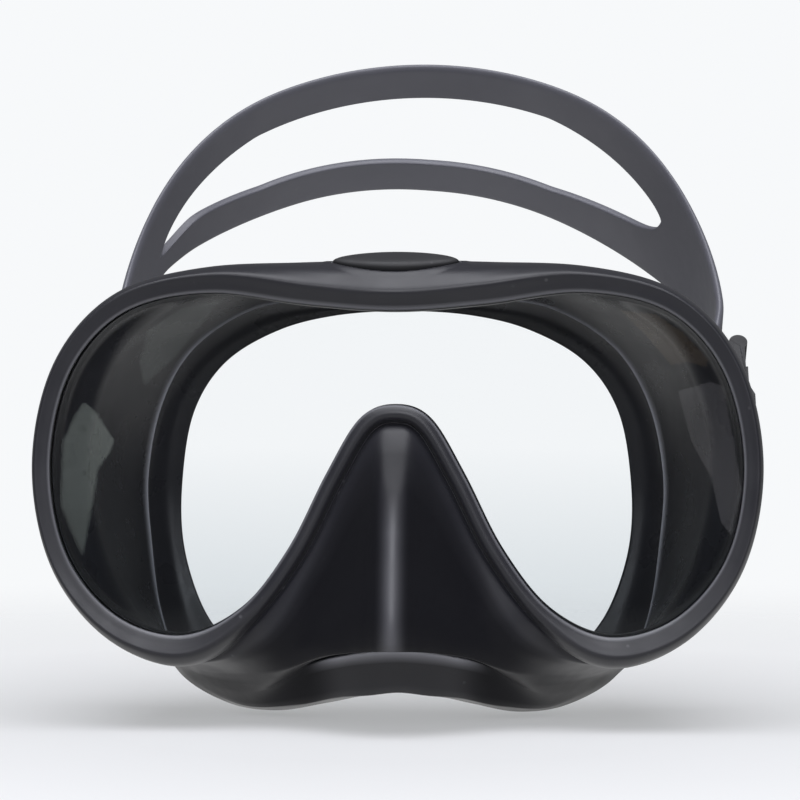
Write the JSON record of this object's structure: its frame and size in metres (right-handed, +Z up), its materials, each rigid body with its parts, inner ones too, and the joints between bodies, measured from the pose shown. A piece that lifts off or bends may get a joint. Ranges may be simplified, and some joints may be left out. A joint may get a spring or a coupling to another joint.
{
  "type": "diving mask",
  "caption": "Frameless single-lens diving mask: flat lens in a soft skirt with a nose pocket, and a split head strap on swivel buckles with release levers.",
  "frame": {"origin": "on the lens's front face, on the mirror plane, midway up the lens's bridge between the eyes", "axes": "+Z up as worn, -Y out of the lens towards the scene, +X to the wearer's left, which is the right side seen from the front"},
  "size_m": [0.1644, 0.1359, 0.1592],
  "materials": {
    "lens_glass": "clear polished",
    "silicone": "satin",
    "badge_silicone": "satin",
    "strap_silicone": "satin",
    "hard_plastic": "semi-gloss",
    "steel": "brushed"
  },
  "bodies": {
    "mask": {"lens": "lens_glass", "skirt": "silicone", "core_frame": "hard_plastic", "brow_badge": "badge_silicone", "left_anchor": "hard_plastic", "left_swivel_pin": "steel", "left_retaining_clip": "steel", "right_anchor": "hard_plastic", "right_swivel_pin": "steel", "right_retaining_clip": "steel"},
    "strap_loop": {"strap": "strap_silicone"},
    "left_buckle": {"left_buckle_body": "hard_plastic", "left_roller_axle": "steel", "left_lever_pin": "steel"},
    "left_roller": {"left_strap_roller": "hard_plastic"},
    "left_lever": {"left_release_lever": "hard_plastic"},
    "right_buckle": {"right_buckle_body": "hard_plastic", "right_roller_axle": "steel", "right_lever_pin": "steel"},
    "right_roller": {"right_strap_roller": "hard_plastic"},
    "right_lever": {"right_release_lever": "hard_plastic"}
  },
  "joints": [
    {"name": "strap_swing", "type": "hinge", "parent": "mask", "child": "strap_loop", "pos_m": [0, 0.028, -0.02845], "axis": [1, 0, 0], "range_deg": [-62, 34]},
    {"name": "left_buckle_swivel", "type": "hinge", "parent": "mask", "child": "left_buckle", "pos_m": [-0.0777, 0.028, -0.02845], "axis": [1, 0, 0], "range_deg": [-62, 34]},
    {"name": "right_buckle_swivel", "type": "hinge", "parent": "mask", "child": "right_buckle", "pos_m": [0.0777, 0.028, -0.02845], "axis": [1, 0, 0], "range_deg": [-62, 34]},
    {"name": "left_roller_spin", "type": "hinge", "parent": "left_buckle", "child": "left_roller", "pos_m": [-0.0754, 0.0431, -0.0098], "axis": [0, -0.7771, 0.6293], "continuous": true},
    {"name": "right_roller_spin", "type": "hinge", "parent": "right_buckle", "child": "right_roller", "pos_m": [0.0754, 0.0431, -0.0098], "axis": [0, -0.7771, 0.6293], "continuous": true},
    {"name": "left_lever_hinge", "type": "hinge", "parent": "left_buckle", "child": "left_lever", "pos_m": [-0.0805, 0.03681, -0.01757], "axis": [0, -0.7771, 0.6293], "range_deg": [0, 25]},
    {"name": "right_lever_hinge", "type": "hinge", "parent": "right_buckle", "child": "right_lever", "pos_m": [0.0805, 0.03681, -0.01757], "axis": [0, 0.7771, -0.6293], "range_deg": [0, 25]}
  ],
  "couplings": [
    {"joint": "left_buckle_swivel", "follows": "strap_swing", "ratio": 1},
    {"joint": "right_buckle_swivel", "follows": "strap_swing", "ratio": 1}
  ]
}
